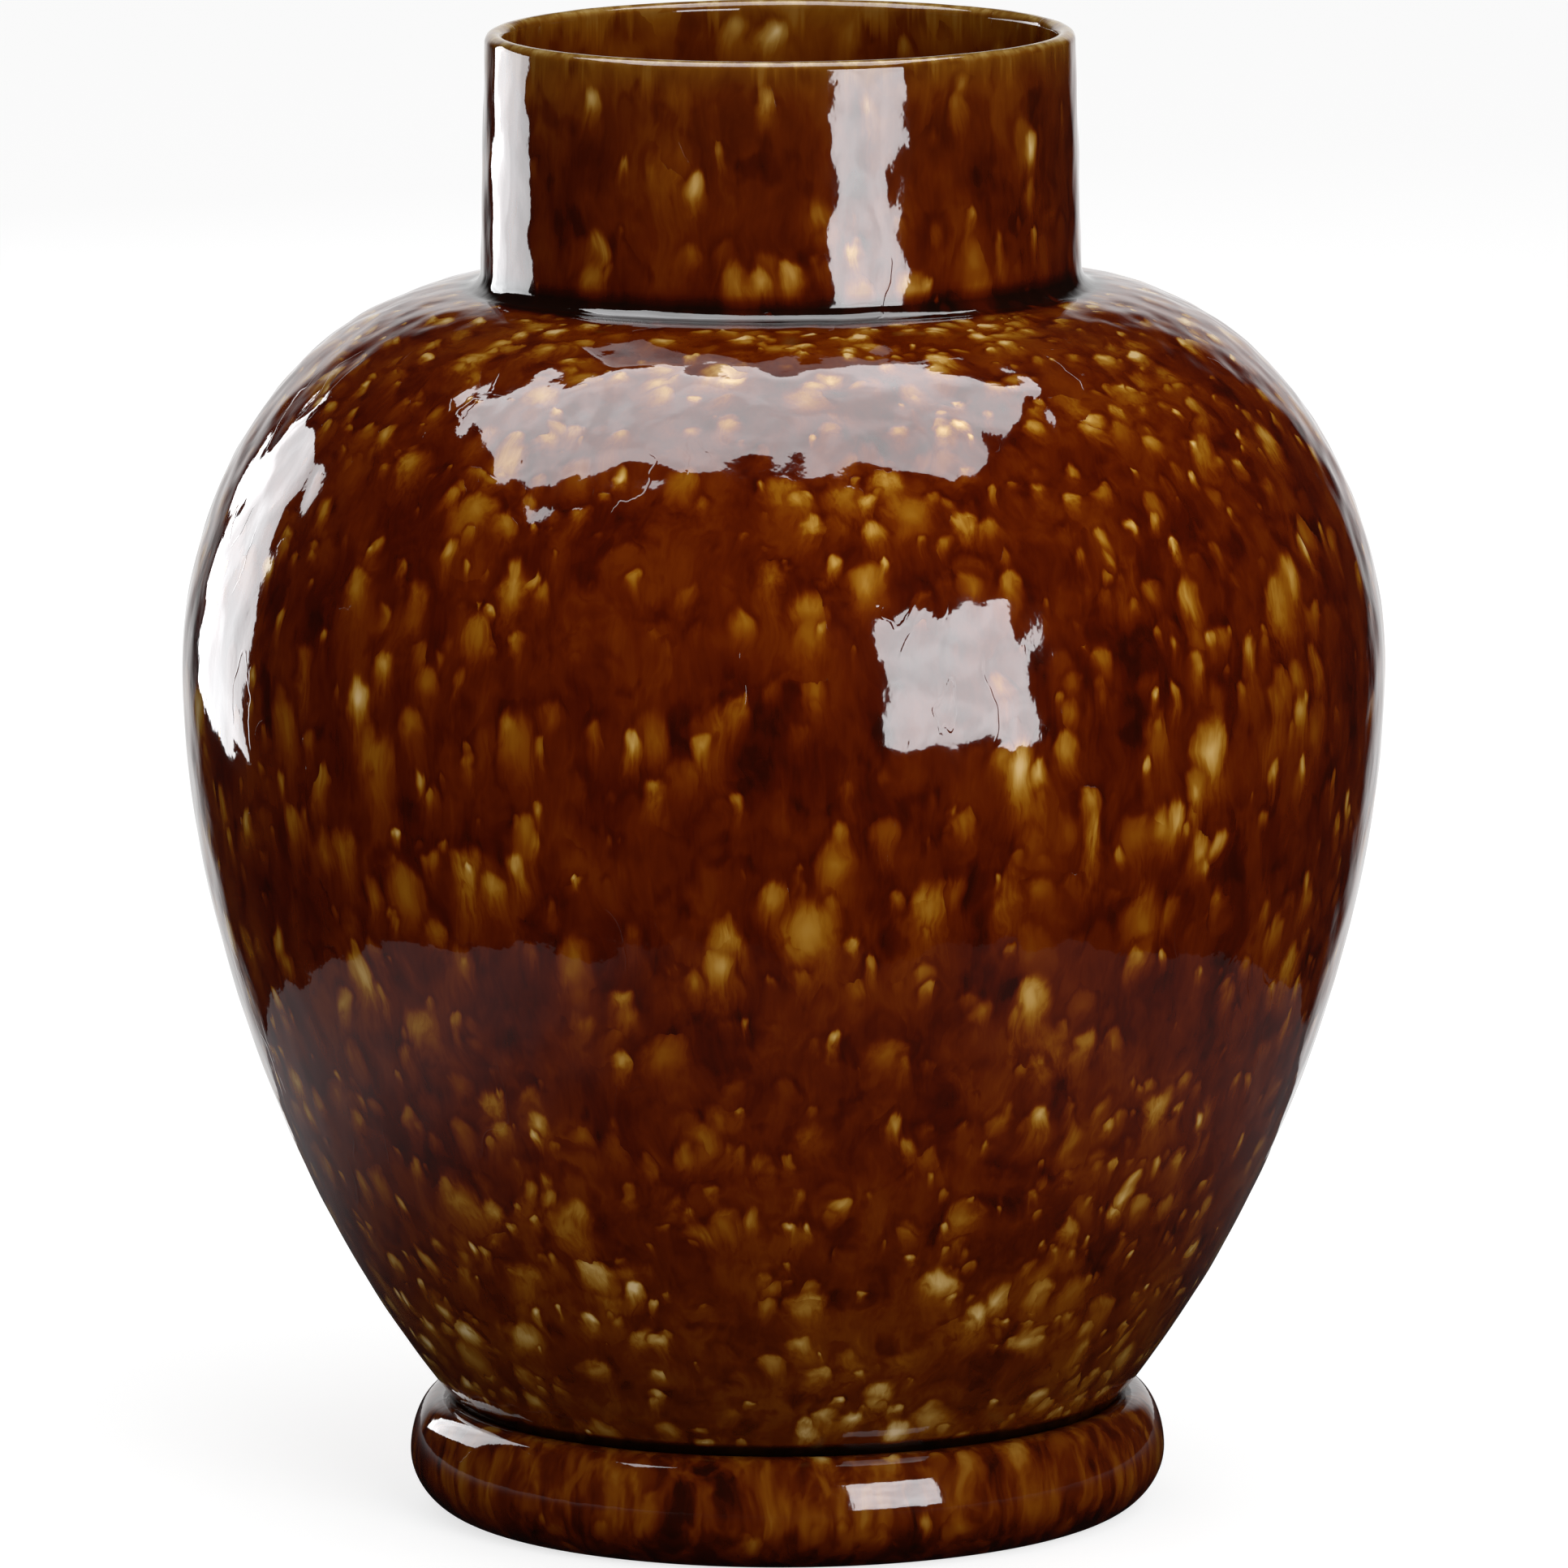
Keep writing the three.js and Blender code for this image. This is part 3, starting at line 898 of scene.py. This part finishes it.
def bare_clay_material():
    """Unglazed stoneware: buff and grainy, with iron specks."""
    material, g = new_material("bare_stoneware")
    where = g.node("ShaderNodeTexCoord").outputs["Object"]
    cloud = g.noise(scaled(g, where, 14 * MM, 14 * MM), 4.0, 0.6)
    grain = g.noise(scaled(g, where, 0.7 * MM, 0.7 * MM), 3.0, 0.7)
    specks = g.noise(scaled(g, where, 1.5 * MM, 1.5 * MM, 3.0), 1.0)
    buff = g.colours(cloud, [(0.3, "8d6a49"), (0.5, "a88660"), (0.7, "b99a76")])
    dusty = g.mix(g.ramp(grain, 0.35, 0.7, 0.0, 0.35), buff, srgb("cdb593"))
    colour = g.mix(g.ramp(specks, 0.66, 0.74, 0.0, 0.8), dusty, srgb("3a2416"))
    bump = g.node("ShaderNodeBump", {"Height": g.times(grain, 0.12), "Strength": 1.0, "Distance": MM})
    shader = g.node(
        "ShaderNodeBsdfPrincipled",
        {
            "Base Color": colour,
            "Roughness": g.ramp(grain, 0.3, 0.7, 0.78, 0.92),
            "Normal": bump.outputs["Normal"],
        },
    )
    g.finish(shader)
    return material


# ---------------------------------------------------------------------------------------------
# The studio.

CAMERA_PLACE = (0, -3.878, 0.825)
CAMERA_TIP = math.radians(9.214)
CAMERA_ROLL = math.radians(0.3)
CAMERA_LENS = 334.8
SENSOR_WIDTH = 36

FRONT_RADIANCE = 12
OVERHEAD_RADIANCE = 7.5
LEFT_RADIANCE = 5.5
OVERHEAD_Z = 1.21

FLOOR_HALF_WIDTH = 40
FLOOR_GREY = (0.5, 0.5, 0.5, 1)
FLOOR_GLOW = 0.72
TABLETOP_RADIUS = 0.46
TABLETOP_Z = 0.0002

BACKGROUND_SEEN = 0.94
SOFT_LIGHT_ALL_ROUND = 0.44
PAPER_IN_GLAZE = 0.92
DARK_STUDIO = 0.008

LIGHT_TARGET = Vector((0, 0, 0.2))
# The name, place, diameter and power of each soft light.
SOFT_LIGHTS = [
    ("top_light", (0.3, -0.6, 2.2), 1.8, 12),
    ("front_light", (1.0, -2.2, 1.1), 1.4, 27),
    ("back_light", (-0.8, 2.2, 1.2), 1.6, 9),
]


def flat_mesh(name, corners, material):
    """A flat stage object with the given corners."""
    mesh = bpy.data.meshes.new(name)
    mesh.from_pydata([Vector(c) for c in corners], [], [list(range(len(corners)))])
    mesh.materials.append(material)
    made = bpy.data.objects.new(name, mesh)
    bpy.context.scene.collection.objects.link(made)
    return made


def only_in_reflections(stage_object):
    """The object is seen in the glaze and lights nothing else."""
    stage_object.visible_camera = False
    stage_object.visible_diffuse = False
    stage_object.visible_transmission = False
    stage_object.visible_shadow = False


def softbox(name, corners, radiance):
    """A softbox, as the glaze reflects it: its cloth glows a little unevenly."""
    material, g = new_material(name)
    place = g.node("ShaderNodeNewGeometry").outputs["Position"]
    cloth = g.noise(g.vector("MULTIPLY", place, (6, 6, 6)), 1.0)
    strength = g.ramp(cloth, 0.3, 0.7, 0.88 * radiance, 1.08 * radiance)
    inputs = {"Color": (0.975, 0.985, 1.0, 1.0), "Strength": strength}
    g.finish(g.node("ShaderNodeEmission", inputs))
    only_in_reflections(flat_mesh(name, corners, material))


def upright_panel(centre, width, height, target):
    """Corners of an upright panel that faces a target."""
    facing = (target - centre).normalized()
    side = Vector((0, 0, 1)).cross(facing).normalized() * width / 2
    up = facing.cross(side).normalized() * height / 2
    return [centre - side - up, centre + side - up, centre + side + up, centre - side + up]


def add_softboxes():
    """A window-like box in front on the right, a strip on the left, a wide one overhead."""
    target = Vector((0.04, -0.14, 0.25))
    turn, rise, reach = math.radians(34), math.radians(8), 1.2
    towards = Vector(
        (math.sin(turn) * math.cos(rise), -math.cos(turn) * math.cos(rise), math.sin(rise))
    )
    front = upright_panel(target + reach * towards, 0.66, 0.72, target)
    softbox("front_softbox", front, FRONT_RADIANCE)
    overhead = [(-0.89, -0.49), (0.57, -0.49), (0.55, 0.38), (-0.80, 0.38)]
    softbox("overhead_softbox", [(x, y, OVERHEAD_Z) for x, y in overhead], OVERHEAD_RADIANCE)
    left = [(-0.427, 0.12, 0.14), (-0.727, 1.0, 0.06), (-0.727, 1.0, 0.74), (-0.427, 0.12, 0.44)]
    softbox("left_softbox", left, LEFT_RADIANCE)


def add_floor():
    """A wide pale floor. It glows a little for the camera alone, and the glaze doesn't see it."""
    material, g = new_material("pale_floor")
    paper = g.node("ShaderNodeBsdfDiffuse", {"Color": FLOOR_GREY})
    seen = g.node("ShaderNodeLightPath").outputs["Is Camera Ray"]
    lit = g.node("ShaderNodeEmission", {"Color": (1, 1, 1, 1), "Strength": g.times(seen, FLOOR_GLOW)})
    g.finish(g.node("ShaderNodeAddShader", {0: paper.outputs[0], 1: lit.outputs[0]}))
    half = FLOOR_HALF_WIDTH
    corners = [(-half, -half, 0), (half, -half, 0), (half, half, 0), (-half, half, 0)]
    floor = flat_mesh("floor", corners, material)
    floor.visible_glossy = False


def add_tabletop_in_glaze():
    """A glowing disc that only the glaze sees, a painted reflection of the lit tabletop: brightest on
    the left, with a painted shadow in front of the foot.
    """
    material, g = new_material("tabletop_in_glaze")
    place = g.node("ShaderNodeNewGeometry").outputs["Position"]
    distance = g.vector("LENGTH", g.vector("MULTIPLY", place, (1, 1, 0)))
    sideways = g.node("ShaderNodeSeparateXYZ", {0: place}).outputs["X"]
    on_left = g.ramp(sideways, -0.34, -0.12, 0.24, 0.0)
    on_right = g.ramp(sideways, 0.10, 0.34, 0.03, 0.11)
    # Painted shadow: the reflected tabletop dims towards the foot.
    glow = g.times(g.add(on_left, on_right), g.ramp(distance, 0.12, 0.36, 0.15, 1.0))
    g.finish(g.node("ShaderNodeEmission", {"Color": (0.97, 0.96, 1.0, 1), "Strength": glow}))
    angles = np.linspace(0, 2 * math.pi, 72)[:-1]
    rim = [
        (TABLETOP_RADIUS * math.cos(a), TABLETOP_RADIUS * math.sin(a), TABLETOP_Z) for a in angles
    ]
    only_in_reflections(flat_mesh("tabletop_in_glaze", rim, material))


def add_world():
    """Plain soft light all round. The glaze itself sees a dark studio with a white paper behind."""
    world = bpy.data.worlds.new("studio")
    bpy.context.scene.world = world
    world.use_nodes = True
    g = Shader(world.node_tree)
    direction = g.node("ShaderNodeTexCoord").outputs["Generated"]
    level = g.vector("NORMALIZE", g.vector("MULTIPLY", direction, (1, 1, 0)))
    behind = g.ramp(g.vector("DOT_PRODUCT", level, (0, 1, 0)), 0.88, 0.965)
    height = g.node("ShaderNodeSeparateXYZ", {0: direction}).outputs["Z"]
    low = g.ramp(height, 0.20, 0.42, 1.0, 0.0)
    in_glaze = g.add(g.times(g.times(behind, low), PAPER_IN_GLAZE), DARK_STUDIO)
    rays = g.node("ShaderNodeLightPath").outputs
    glossy, camera = rays["Is Glossy Ray"], rays["Is Camera Ray"]
    unseen = g.add(g.times(glossy, in_glaze), g.times(g.minus(1.0, glossy), SOFT_LIGHT_ALL_ROUND))
    strength = g.add(g.times(camera, BACKGROUND_SEEN), g.times(g.minus(1.0, camera), unseen))
    background = g.node("ShaderNodeBackground", {"Color": (1, 1, 1, 1), "Strength": strength})
    g.finish(background, "ShaderNodeOutputWorld")


def add_soft_light(name, location, size, watts):
    """A large soft light that adds shape and leaves no reflection of its own."""
    data = bpy.data.lights.new(name, "AREA")
    data.shape = "DISK"
    data.size = size
    data.energy = watts
    light = bpy.data.objects.new(name, data)
    light.location = location
    light.rotation_euler = (LIGHT_TARGET - light.location).to_track_quat("-Z", "Y").to_euler()
    light.visible_glossy = False
    light.visible_camera = False
    bpy.context.scene.collection.objects.link(light)


def add_camera():
    """A long lens a little above the rim, tipped down."""
    data = bpy.data.cameras.new("camera")
    data.sensor_width = SENSOR_WIDTH
    data.lens = CAMERA_LENS
    data.clip_start = 0.1
    data.clip_end = 100
    camera = bpy.data.objects.new("camera", data)
    bpy.context.scene.collection.objects.link(camera)
    tipped = Euler((math.pi / 2 - CAMERA_TIP, 0, 0)).to_matrix()
    turned = tipped @ Matrix.Rotation(-CAMERA_ROLL, 3, "Z")
    camera.matrix_world = Matrix.Translation(CAMERA_PLACE) @ turned.to_4x4()
    bpy.context.scene.camera = camera


def build_vase():
    """Every piece of the vase, on the skins that they share."""
    outer, cuts, inner, inner_cuts, foot = build_skins()
    neck_glaze = glaze_material("neck_glaze_runs")
    body_glaze = glaze_material("body_glaze_drops")
    foot_glaze = glaze_material("foot_glaze_streaks")
    clay = bare_clay_material()
    neck_piece(outer, cuts, inner, inner_cuts, [neck_glaze])
    fillet_piece(outer, cuts, [neck_glaze])
    shoulder_piece(outer, cuts, inner, inner_cuts, [body_glaze])
    belly_piece(outer, cuts, inner, inner_cuts, [body_glaze])
    floor_slab_piece(inner, [body_glaze, clay])
    floor_fillet_piece(inner, inner_cuts, [body_glaze])
    foot_piece(foot, [foot_glaze, clay])


add_camera()
build_vase()
add_floor()
add_tabletop_in_glaze()
add_world()
add_softboxes()
for name, location, size, watts in SOFT_LIGHTS:
    add_soft_light(name, location, size, watts)
scene = bpy.context.scene
scene.view_settings.view_transform = "Standard"
scene.view_settings.look = "None"
